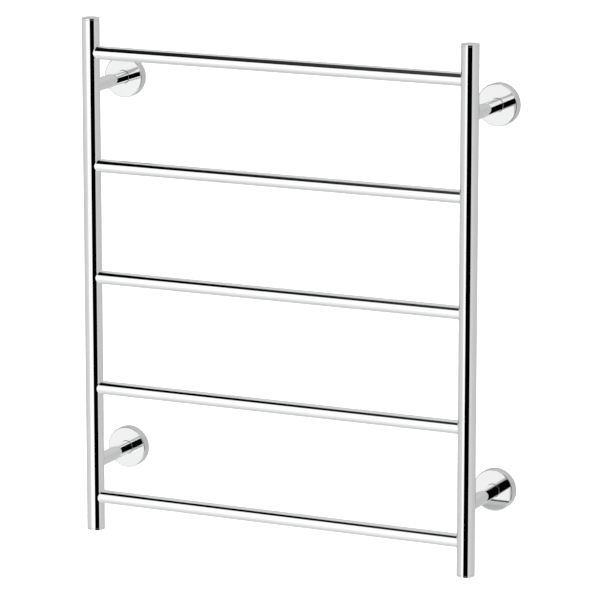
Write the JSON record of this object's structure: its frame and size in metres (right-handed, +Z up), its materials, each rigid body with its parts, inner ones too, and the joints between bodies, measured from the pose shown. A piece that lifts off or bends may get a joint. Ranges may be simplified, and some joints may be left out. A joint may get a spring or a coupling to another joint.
{
  "type": "towel warmer rack",
  "caption": "Wall-hung round-tube ladder rack that warms towels, with straight rungs between two posts, stand-off arms and round sliding wall covers.",
  "frame": {"origin": "on the wall's surface, midway between the four wall plates", "axes": "+Z up along the posts, +X to the right seen from the front, +Y into the wall"},
  "size_m": [0.635, 0.1227, 0.74],
  "materials": {
    "chrome": "polished chrome plate on steel",
    "zinc_plate": "zinc-plated steel, satin",
    "dark_steel": "blackened steel screw",
    "black_rubber": "matt black rubber",
    "lead_sheath": "light grey flexible sheath",
    "white_sleeve": "off-white moulded nylon",
    "red_silicone": "brick-red silicone jacket",
    "green_insulation": "green insulation",
    "brass": "plain spring brass",
    "cutout_can": "drawn can, satin"
  },
  "bodies": {
    "rack": {"left_post": "chrome", "top_cap_left": "chrome", "bottom_cap_left": "chrome", "right_post": "chrome", "top_cap_right": "chrome", "bottom_cap_right": "chrome", "rung_1": "chrome", "rung_2": "chrome", "rung_3": "chrome", "rung_4": "chrome", "rung_5": "chrome", "arm_upper_left": "chrome", "wall_plate_upper_left": "zinc_plate", "grub_screw_upper_left": "dark_steel", "arm_upper_right": "chrome", "wall_plate_upper_right": "zinc_plate", "grub_screw_upper_right": "dark_steel", "arm_lower_left": "chrome", "wall_plate_lower_left": "zinc_plate", "grub_screw_lower_left": "dark_steel", "arm_lower_right": "chrome", "wall_plate_lower_right": "zinc_plate", "grub_screw_lower_right": "dark_steel", "lead_grommet": "black_rubber", "supply_lead": "lead_sheath", "splice_sleeve": "white_sleeve", "heating_cable": "red_silicone", "cable_end_seal": "black_rubber", "earth_wire": "green_insulation", "earth_clip": "brass", "thermal_cutout": "cutout_can"},
    "cover_body_upper_left": {"cover_upper_left": "chrome", "o_ring_upper_left": "black_rubber"},
    "cover_body_upper_right": {"cover_upper_right": "chrome", "o_ring_upper_right": "black_rubber"},
    "cover_body_lower_left": {"cover_lower_left": "chrome", "o_ring_lower_left": "black_rubber"},
    "cover_body_lower_right": {"cover_lower_right": "chrome", "o_ring_lower_right": "black_rubber"}
  },
  "joints": [
    {"name": "cover_slide_upper_left", "type": "slide", "parent": "rack", "child": "cover_body_upper_left", "axis": [0, -1, 0], "range_m": [0, 0.08]},
    {"name": "cover_slide_upper_right", "type": "slide", "parent": "rack", "child": "cover_body_upper_right", "axis": [0, -1, 0], "range_m": [0, 0.08]},
    {"name": "cover_slide_lower_left", "type": "slide", "parent": "rack", "child": "cover_body_lower_left", "axis": [0, -1, 0], "range_m": [0, 0.08]},
    {"name": "cover_slide_lower_right", "type": "slide", "parent": "rack", "child": "cover_body_lower_right", "axis": [0, -1, 0], "range_m": [0, 0.08]}
  ]
}
